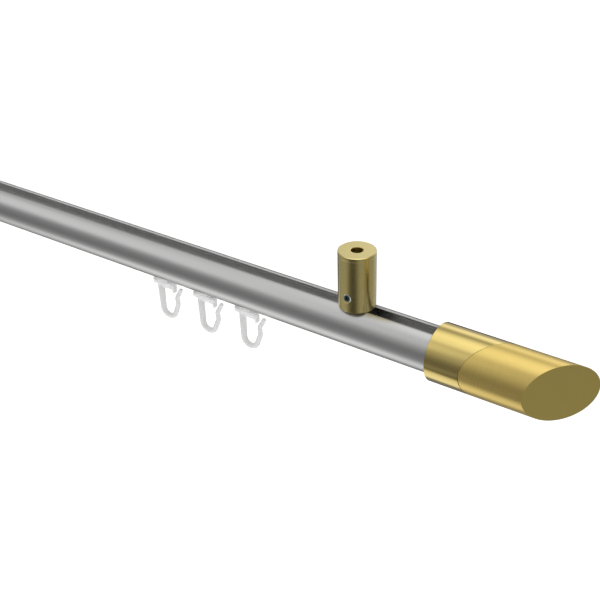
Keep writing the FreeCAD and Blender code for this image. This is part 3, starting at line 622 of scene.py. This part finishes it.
inner = RAIL_RADIUS - RAIL_WALL
lip_out, lip_in = math.acos(SLOT_HALF / RAIL_RADIUS), math.acos(SLOT_HALF / inner)
mouth = -math.acos(MOUTH_HALF / RAIL_RADIUS)
floor_at, web_at = math.asin(SLOT_FLOOR / inner), math.asin(WEB_UNDERSIDE / inner)
ledge_at = math.asin(LEDGE_HEIGHT / inner)
right_half = (arc(RAIL_RADIUS, lip_out, mouth) + [(MOUTH_HALF, LEDGE_HEIGHT)]
              + arc(inner, ledge_at, web_at))
slot_side = arc(inner, floor_at, lip_in)
outline = right_half + [(-y, z) for y, z in reversed(right_half)]
outline += [(-y, z) for y, z in reversed(slot_side)] + slot_side
print("rail outline of", len(outline), "points")

# %% Rail by Geometry Nodes
extrude, given, ids = new_node_group("extrude_outline", {
    "Length": "NodeSocketFloat", "Height": "NodeSocketFloat", "Finish": "NodeSocketMaterial"})
half = extrude.math("MULTIPLY", given["Length"], 0.5)
start = extrude.add("ShaderNodeCombineXYZ", {"X": extrude.math("MULTIPLY", half, -1),
                                             "Z": given["Height"]})
end = extrude.add("ShaderNodeCombineXYZ", {"X": half, "Z": given["Height"]})
line = extrude.add("GeometryNodeCurvePrimitiveLine", {"Start": start.outputs[0],
                                                      "End": end.outputs[0]})
swept = extrude.add("GeometryNodeCurveToMesh", {
    "Curve": line.outputs[0], "Profile Curve": given["Geometry"], "Fill Caps": True})
close_tree(extrude, swept.outputs[0], given["Finish"])

# A line that runs along +X hangs its outline head down, so the outline is given so too.
work, spline = poly_curve("rail_outline", [(y, -z, 0) for y, z in outline])
spline.use_cyclic_u = True
run_tree(work, extrude, ids, {"Length": 2 * RAIL_END * MM, "Height": AXIS_Z * MM,
                              "Finish": aluminium})
rail_mesh = bake(work, "rail_finished")
print("rail swept,", len(rail_mesh.polygons), "faces")

# %% [markdown]
# The sweep leaves knife edges along the slot and at the channel's mouth. A real die rounds
# them by a tenth of a millimetre or two, and those narrow bands are what shines along the
# slot in the photograph. A Bevel modifier with an angle limit finds them by itself. The
# flat sides that stay between them on the slot's lips get the matt finish.

# %% Rail lips
LIP_ROUND = 0.16
# A lip's flat side looks sideways, lies close by the slot's edge, and is over its floor.
SIDEWAYS, CLOSE_BY, OVER_FLOOR = 0.95, 0.05, 2.0


def soften(mesh, name, width, angle=35, segments=3):
    """Round the sharp edges of a mesh with a Bevel modifier and bake it."""
    work = new_object(name + "_work", mesh)
    modifier = work.modifiers.new("edges", "BEVEL")
    modifier.width = width * MM
    modifier.segments = segments
    modifier.limit_method = "ANGLE"
    modifier.angle_limit = math.radians(angle)
    modifier.use_clamp_overlap = True
    modifier.harden_normals = False
    return bake(work, name)


rail_mesh = smooth(soften(rail_mesh, "rail_finished", LIP_ROUND))
rail_mesh.materials.append(matt_aluminium)
lip_faces = [face for face in rail_mesh.polygons
             if abs(face.normal.y) > SIDEWAYS
             and abs(abs(face.center.y) - SLOT_HALF * MM) < CLOSE_BY * MM
             and face.center.z > (AXIS_Z + SLOT_FLOOR + OVER_FLOOR) * MM]
for face in lip_faces:
    face.material_index = 1
print(len(lip_faces), "matt faces on the slot's lips")
install("rail_finished", rail_mesh, "track", "rail_aluminium", "rail")

# %% [markdown]
# ## Turning on a lathe
#
# Posts, sleeves and tips are turned. A lathe piece is a drawing of half its section, spun
# about an axis. Blender's Spin and Screw tools do that, but the finials end in a slanted
# cut. So a small lathe of our own places each ring of points itself: a slant moves the
# points of a ring along the axis by an amount that depends on their place across it. Each
# kind of piece says where a point across, up and along its own axis lies in the frame.

# %% Lathe
LATHE_STEPS = 160


def turn(name, profile, frame_point, material):
    """Spin a closed profile of (radius, along, slant) points. Radius 0 makes a pole."""
    mesh = bmesh.new()
    rings = []
    for radius, along, slant in profile:
        ring = []
        for step in range(LATHE_STEPS if radius > 0 else 1):
            angle = 2 * math.pi * step / LATHE_STEPS
            across, up = radius * math.cos(angle), radius * math.sin(angle)
            ring.append(mesh.verts.new(frame_point(across, up, along + slant * across)))
        rings.append(ring)
    for first, second in zip(rings, rings[1:] + rings[:1]):
        for step in range(LATHE_STEPS):
            after = (step + 1) % LATHE_STEPS
            corners = [first[step % len(first)], first[after % len(first)],
                       second[after % len(second)], second[step % len(second)]]
            corners = list(dict.fromkeys(corners))
            if len(corners) > 2:
                mesh.faces.new(corners)
    bmesh.ops.recalc_face_normals(mesh, faces=mesh.faces)
    turned = bpy.data.meshes.new(name)
    mesh.to_mesh(turned)
    mesh.free()
    turned.materials.append(material)
    return turned


def rounded(profile, radius, steps=4):
    """Round the marked corners of a profile. Each point is (radius, along, slant, mark)."""
    result = []
    for index, (*point, marked) in enumerate(profile):
        if not marked:
            result.append(tuple(point))
            continue
        here = Vector(point)
        before = Vector(profile[index - 1][:3]) - here
        after = Vector(profile[(index + 1) % len(profile)][:3]) - here
        before, after = before.normalized() * radius, after.normalized() * radius
        for step in range(steps + 1):
            part = step / steps
            bend = here + before * (1 - part) ** 2 + after * part ** 2
            result.append(tuple(bend))
    return result


def drill(mesh, name, start, end, radius, sides=64):
    """Cut a hole between two points, with an exact Boolean. Six sides make a hexagon."""
    start, end = Vector(start) * MM, Vector(end) * MM
    tool = bmesh.new()
    bmesh.ops.create_cone(tool, cap_ends=True, segments=sides, radius1=radius * MM,
                          radius2=radius * MM, depth=(end - start).length)
    turn_to = (end - start).to_track_quat("Z", "Y").to_matrix().to_4x4()
    tool.transform(Matrix.Translation((start + end) / 2) @ turn_to)
    tool_mesh = bpy.data.meshes.new(name + "_drill")
    tool.to_mesh(tool_mesh)
    tool.free()
    cutter = new_object(name + "_drill", tool_mesh)
    work = new_object(name + "_work", mesh)
    modifier = work.modifiers.new("hole", "BOOLEAN")
    modifier.operation = "DIFFERENCE"
    modifier.solver = "EXACT"
    modifier.object = cutter
    drilled = bake(work, name)
    bpy.data.objects.remove(cutter)
    return drilled


print("lathe ready")

# %% [markdown]
# ## Ceiling posts
#
# Each post is a turned cup, open below, where it stands on the lips of the rail's slot. Its
# cap has a bore for the ceiling screw, and a grub screw's hole runs in from the front. A
# small chamfer breaks the top edge, and a hairline groove runs round just below it. The
# profile is drawn once, with the foot's edge and the bore's edge rounded, and the hole is
# drilled afterwards. The face that stands on the rail is painted dark: a painted shade,
# seen as a contact shadow where it is reflected in the rail.

# %% Posts
EDGE_ROUND, RIM_CHAMFER = 0.3, 0.32
RIM_DROP = 0.7 * RIM_CHAMFER
LINE_AT, LINE_WIDTH, LINE_DEPTH = -1.7, 0.12, 0.06
# The face with the painted shade looks down and lies in a narrow band over the foot.
DOWNWARD, FOOT_BAND = -0.9, 0.1


def post_mesh(side, name):
    """A post with its bore, the groove below its top and the hole for its grub screw."""
    def place(across, up, along):
        return Vector((side * POST_X + across, up, along)) * MM

    profile = rounded([
        (POST_BORE, FOOT_Z, 0, False), (POST_RADIUS, FOOT_Z, 0, True),
        (POST_RADIUS, LINE_AT - LINE_WIDTH / 2, 0, False),
        (POST_RADIUS - LINE_DEPTH, LINE_AT, 0, False),
        (POST_RADIUS, LINE_AT + LINE_WIDTH / 2, 0, False),
        (POST_RADIUS, -RIM_DROP, 0, False),
        (POST_RADIUS - RIM_CHAMFER, 0, 0, False), (SCREW_HOLE, 0, 0, True),
        (SCREW_HOLE, -POST_CAP, 0, False), (POST_BORE, -POST_CAP, 0, False)], EDGE_ROUND)
    mesh = turn(name, profile, place, post_brass)
    mesh.materials.append(foot_shade_brass)
    # The foot's face gets the painted shade.
    for face in mesh.polygons:
        if face.normal.z < DOWNWARD and face.center.z < (FOOT_Z + FOOT_BAND) * MM:
            face.material_index = 1
    level = FOOT_Z + GRUB_HEIGHT
    return drill(mesh, name, (side * POST_X, 0, level),
                 (side * POST_X, -2 * POST_RADIUS, level), GRUB_RADIUS + THREAD_GAP)


for side, name in ((-1, "post_left"), (1, "post_right")):
    mesh = smooth(post_mesh(side, name + "_turned"))
    install(name + "_turned", mesh, "track", "brass", name)

# %% [markdown]
# ## Finial sleeves
#
# The sleeve is a turned cap with a stepped bore, sawn off at forty degrees. The lathe's
# slant does the sawing: every ring of the cut face slides along the rail with its depth.
# The left finial is the right one turned half round, as the same part is on a real track.

# %% Sleeves
RIM_ROUND, SEAM_ROUND = 0.3, 0.2


def finial_place(side):
    """A point on a finial, turned half round about the depth axis for the left one."""
    def place(across, up, along):
        return Vector((side * (RIM_X + along), across, AXIS_Z + side * up)) * MM
    return place


def finial_grub(side):
    """Both ends of the grub screw's hole, which is on the rear of the sleeve."""
    x = side * (RIM_X + FINIAL_GRUB_AT)
    return (x, 0, AXIS_Z), (x, 2 * FINIAL_RADIUS, AXIS_Z)


def rings_round(radius, along, slant, width, outward=True, steps=4):
    """Rings that round the edge between a finial's side and a face across it."""
    sign = 1 if outward else -1
    rings = []
    for step in range(steps + 1):
        turned_by = math.pi / 2 * step / steps
        rings.append((radius - width * (1 - math.cos(turned_by)),
                      along - sign * width * (1 - math.sin(turned_by)), slant))
    return rings


for side, name in ((-1, "finial_sleeve_left"), (1, "finial_sleeve_right")):
    rim = rings_round(FINIAL_RADIUS, 0, 0, RIM_ROUND, False)
    seam = rings_round(FINIAL_RADIUS, SEAM_AT, SLANT, SEAM_ROUND)
    profile = [(SLEEVE_BORE, SLEEVE_FLOOR, 0), (SLEEVE_BORE, 0, 0)] + rim[::-1]
    profile += seam + [(SHANK_ROOM, SEAM_AT, SLANT), (SHANK_ROOM, HEAD_SEAT, 0),
                       (HEAD_ROOM, HEAD_SEAT, 0), (HEAD_ROOM, SLEEVE_FLOOR, 0)]
    mesh = turn(name + "_turned", profile, finial_place(side), sleeve_brass)
    mesh = drill(mesh, name + "_turned", *finial_grub(side), GRUB_RADIUS + THREAD_GAP)
    mesh = smooth(mesh)
    install(name + "_turned", mesh, "track", "brass", name)

# %% [markdown]
# ## Finial tips
#
# The tip carries the sleeve's shape on beyond the seam and ends in a milled face with the
# same slant. Its two slanted faces take the milled finish, so they are picked out by the
# way they face after the piece is turned.

# %% Tips
TIP_ROUND = 0.12
# A milled face looks almost exactly the way that the cut does.
SAME_WAY = 0.999


def mill_faces(mesh, material, direction):
    """Give the faces that look one way a second material."""
    mesh.materials.append(material)
    picked = [face for face in mesh.polygons if abs(face.normal.dot(direction)) > SAME_WAY]
    for face in picked:
        face.material_index = 1
    return len(picked)


for side, name in ((-1, "finial_tip_left"), (1, "finial_tip_right")):
    seam = rings_round(FINIAL_RADIUS, SEAM_AT, SLANT, SEAM_ROUND, False)
    end = rings_round(FINIAL_RADIUS, CUT_AT, SLANT, TIP_ROUND)
    profile = [(TAPPED_RADIUS, SEAM_AT, SLANT)] + seam[::-1] + end
    profile += [(0, CUT_AT, SLANT), (0, TAPPED_END, 0), (TAPPED_RADIUS, TAPPED_END, 0)]
    mesh = turn(name + "_turned", profile, finial_place(side), tip_brass)
    cut_normal = Vector((side, -SLANT, 0)).normalized()
    count = mill_faces(mesh, milled_brass, cut_normal)
    mesh = smooth(mesh)
    print(count, "milled faces on", name)
    install(name + "_turned", mesh, "track", "brass", name)

# %% [markdown]
# ## Grub screws
#
# A grub screw has no head: it is a short threaded pin with a hexagon socket, turned in until
# it sits just below the surface. The bright chamfer round its dark socket makes it readable,
# so each one is turned with a chamfer at both ends and given a six-sided hole. The outer
# chamfer's pale colour is partly bare cut steel and partly a painted highlight.

# %% Grub screws
SOCKET_FLATS, SOCKET_DEPTH, SCREW_CHAMFER, SCREW_SUNK = 2.0, 1.6, 0.42, 0.1
# A chamfer's faces look partly outward: the end face scores 1 here and the side 0.
CHAMFER_FACES = (0.3, 0.95)


def screw_mesh(name, outer, inner):
    """A grub screw between two points, with its socket in the outer end."""
    outer, inner = Vector(outer), Vector(inner)
    inward = (inner - outer).normalized()
    outer = outer + inward * SCREW_SUNK
    side_way = inward.orthogonal().normalized()
    up_way = inward.cross(side_way)
    length = (inner - outer).length

    def place(across, up, along):
        return (outer + side_way * across + up_way * up + inward * along) * MM

    bevel = SCREW_CHAMFER
    mesh = turn(name, [(0, 0, 0), (GRUB_RADIUS - bevel, 0, 0), (GRUB_RADIUS, bevel, 0),
                       (GRUB_RADIUS, length - bevel, 0), (GRUB_RADIUS - bevel, length, 0),
                       (0, length, 0)], place, blackened)
    corner = SOCKET_FLATS / math.sqrt(3)
    mesh = drill(mesh, name, outer - inward, outer + inward * SOCKET_DEPTH, corner, 6)
    # The outer chamfer gets the pale steel: partly bare cut metal, partly a painted highlight.
    mesh.materials.append(cut_and_highlight_steel)
    for face in mesh.polygons:
        if CHAMFER_FACES[0] < -face.normal.dot(inward) < CHAMFER_FACES[1]:
            face.material_index = 1
    return mesh


for name in ("post_grub_screw_left", "post_grub_screw_right",
             "finial_grub_screw_left", "finial_grub_screw_right"):
    low, high = (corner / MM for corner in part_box(name))
    x, z = (low.x + high.x) / 2, (low.z + high.z) / 2
    outer_y, inner_y = (low.y, high.y) if name.startswith("post") else (high.y, low.y)
    mesh = screw_mesh(name + "_turned", (x, outer_y, z), (x, inner_y, z))
    keep_sharp(mesh)
    install(name + "_turned", mesh, "track", "steel", name)

# %% [markdown]
# ## Gliders
#
# A glider is one moulding: a head and a neck inside the rail, a plate under it, a shank
# with a small tooth, and a hook that rises beside the shank. The hook's round strand gets
# thinner towards its tip, which is what Curve to Mesh does when it is given a scale. The
# strand follows the line that a bender would walk: straight, bend, straight.

# %% Hook line
HEAD, HEAD_Z, HEAD_CORNER = (11.0, 7.6), (-7.8, -6.3), 1.5
PLATE, PLATE_Z, PLATE_CORNER = (12.3, 4.4), (-14.5, -12.2), 1.8
NECK, NECK_OVERLAP = (6.0, 3.4), 0.1
RIB_WIDTH, RIB_LOW = 2.2, -16.0
TOOTH_LOW, TOOTH_LENGTH, TOOTH_SLANT, TOOTH_PAST_PLATE = -17.7, 1.4, (0.45, 0.7), 0.45
HOOK_START, ROOT_HEADING = (-2.45, -13.35), -88.6
# Runs and bends in order: ("run", length) or ("bend", radius, new heading).
HOOK_STEPS = [("run", 14.3), ("bend", 3.85, 68), ("run", 5.0), ("bend", 2.5, 94),
              ("run", 2.6), ("bend", 2.5, 60), ("run", 4.6)]
HOOK_ROOT, HOOK_TIP = 1.66, 1.02


def walk(start, heading, steps, spacing=0.35):
    """Points of a line of runs and bends in the x-z plane, about evenly spaced."""
    point, angle = Vector(start), math.radians(heading)
    points = [point.copy()]
    for kind, size, *rest in steps:
        turn_by = math.radians(rest[0]) - angle if rest else 0
        length = size * abs(turn_by) if rest else size
        count = max(1, round(length / spacing))
        for _ in range(count):
            chord = length / count
            if rest:
                half_turn = turn_by / count / 2
                chord = 2 * size * math.sin(abs(half_turn))
                angle += half_turn
            point += Vector((math.cos(angle), math.sin(angle))) * chord
            if rest:
                angle += half_turn
            points.append(point.copy())
    return points


hook_points = walk(HOOK_START, ROOT_HEADING, HOOK_STEPS)
print("hook line of", len(hook_points), "points, tip at",
      tuple(round(value, 2) for value in hook_points[-1]))

# %% Hook strand by Geometry Nodes
STRAND_SIDES, BALL_STEPS = 32, 4

strand_tree, given, ids = new_node_group("thinning_strand", {
    "Root radius": "NodeSocketFloat", "Tip radius": "NodeSocketFloat",
    "Sides": "NodeSocketInt", "Finish": "NodeSocketMaterial"})
along = strand_tree.add("GeometryNodeSplineParameter").outputs["Factor"]
radius = strand_tree.scale(along, 0, 1, given["Root radius"], given["Tip radius"])
ring = strand_tree.add("GeometryNodeCurvePrimitiveCircle",
                       {"Radius": 1, "Resolution": given["Sides"]})
tube = strand_tree.add("GeometryNodeCurveToMesh", {
    "Curve": given["Geometry"], "Profile Curve": ring.outputs["Curve"],
    "Scale": radius, "Fill Caps": True})
last = strand_tree.add("GeometryNodeCurveEndpointSelection", {"Start Size": 0, "End Size": 1})
ball = strand_tree.add("GeometryNodeMeshIcoSphere",
                       {"Radius": given["Tip radius"], "Subdivisions": BALL_STEPS})
end_ball = strand_tree.add("GeometryNodeInstanceOnPoints", {
    "Points": given["Geometry"], "Selection": last.outputs[0], "Instance": ball.outputs["Mesh"]})
joined = strand_tree.add("GeometryNodeJoinGeometry")
for part in (tube.outputs[0], end_ball.outputs[0]):
    strand_tree.tree.links.new(part, joined.inputs[0])
close_tree(strand_tree, joined.outputs[0], given["Finish"])

work, spline = poly_curve("hook_line", [(x, 0, z) for x, z in hook_points])
run_tree(work, strand_tree, ids, {"Root radius": HOOK_ROOT * MM, "Tip radius": HOOK_TIP * MM,
                                  "Sides": STRAND_SIDES, "Finish": plastic})
strand = bake(work, "strand")
print("strand of", len(strand.polygons), "faces")

# %% [markdown]
# The other features of a glider are flat-sided, so each is an outline with a thickness.
# They simply overlap, as shapes do in a mould's drawing. A voxel Remesh fuses them into
# one skin, and a light Smooth rounds every edge, as moulded plastic always is.

# %% One glider
VOXEL, SMOOTH_PULL, SMOOTH_STEPS = 0.17, 0.5, 5


def prism(mesh, outline, low, high, upright):
    """A closed slab: the outline lies in x-y if upright, and otherwise in x-z."""
    layers = []
    for level in (low, high):
        points = [(a, b, level) if upright else (a, level, b) for a, b in outline]
        layers.append([mesh.verts.new(Vector(point) * MM) for point in points])
    mesh.faces.new(layers[0])
    mesh.faces.new(layers[1])
    for index, corner in enumerate(layers[0]):
        before = index - 1
        mesh.faces.new((layers[0][before], corner, layers[1][index], layers[1][before]))


def plate_outline(length, width, corner=0.0, steps=8):
    """A rectangle with rounded corners."""
    points = []
    for quarter, (right, up) in enumerate(((1, 1), (-1, 1), (-1, -1), (1, -1))):
        centre = Vector((right * (length / 2 - corner), up * (width / 2 - corner)))
        for step in range(steps + 1):
            angle = math.pi / 2 * (quarter + step / steps)
            points.append(centre + corner * Vector((math.cos(angle), math.sin(angle))))
            if not corner:
                break
    return points


mesh = bmesh.new()
middle = sum(PLATE_Z) / 2
tooth_end = PLATE[0] / 2 + TOOTH_PAST_PLATE
prism(mesh, plate_outline(*PLATE, PLATE_CORNER), *PLATE_Z, True)
prism(mesh, plate_outline(*NECK), middle, HEAD_Z[0] + NECK_OVERLAP, True)
prism(mesh, plate_outline(*HEAD, HEAD_CORNER), *HEAD_Z, True)
prism(mesh, [(HOOK_START[0], middle), (HOOK_START[0], RIB_LOW),
             (tooth_end - TOOTH_LENGTH, RIB_LOW), (tooth_end - TOOTH_LENGTH, TOOTH_LOW),
             (tooth_end - TOOTH_SLANT[0], TOOTH_LOW),
             (tooth_end, TOOTH_LOW + TOOTH_SLANT[1]), (tooth_end, middle)],
      -RIB_WIDTH / 2, RIB_WIDTH / 2, False)
mesh.from_mesh(strand)
bmesh.ops.recalc_face_normals(mesh, faces=mesh.faces)
rough = bpy.data.meshes.new("glider_rough")
mesh.to_mesh(rough)
mesh.free()
work = new_object("glider_work", rough)
fuse = work.modifiers.new("fuse", "REMESH")
fuse.mode = "VOXEL"
fuse.voxel_size = VOXEL * MM
fuse.adaptivity = 0
even = work.modifiers.new("even", "SMOOTH")
even.factor = SMOOTH_PULL
even.iterations = SMOOTH_STEPS
glider = bake(work, "glider")
print("one glider of", len(glider.polygons), "faces")

# %% [markdown]
# ## Eight gliders
#
# The eight gliders are the same moulding at eight places. A short Geometry Nodes tree puts
# a copy at a place that is given as an input, so each body gets its own plain mesh.

# %% All gliders
place_tree, given, ids = new_node_group("glider_at", {
    "Place": "NodeSocketVector", "Finish": "NodeSocketMaterial"})
moved = place_tree.add("GeometryNodeTransform",
                       {"Geometry": given["Geometry"], "Translation": given["Place"]})
close_tree(place_tree, moved.outputs[0], given["Finish"])

for name in sorted(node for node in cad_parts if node.startswith("glider_")):
    low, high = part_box(name)
    at_x = low.x + (PLATE[0] / 2) * MM
    work = new_object(name + "_work", glider.copy())
    run_tree(work, place_tree, ids, {"Place": (at_x, 0, AXIS_Z * MM), "Finish": plastic})
    mesh = bake(work, name + "_moulded")
    mesh.shade_smooth()
    install(name + "_moulded", mesh, name, "glider_plastic", name)

# %% [markdown]
# ## Screws, nuts and spigots
#
# The small turned and threaded parts come from the construction model with their sockets
# and grooves, and their shapes are right. They keep those shapes and get a real finish in
# place of their plain colour. The nuts stand in the dark of the slot, so theirs is a dark
# colour: a painted shade.

# %% Small parts
FINISHES = {"rail_aluminium": aluminium, "brass": tip_brass, "steel": steel,
            "glider_plastic": plastic}
for name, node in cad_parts.items():
    for material_slot in node.material_slots:
        plain_name = material_slot.material.name.split(".")[0]
        # The nuts in the slot get the painted shade.
        in_slot = name.startswith("slot_nut")
        material_slot.material = slot_shade_steel if in_slot else FINISHES[plain_name]
    if not node.hide_render:
        print(name, "gets", node.material_slots[0].material.name)

# %% Sizes
low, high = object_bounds()
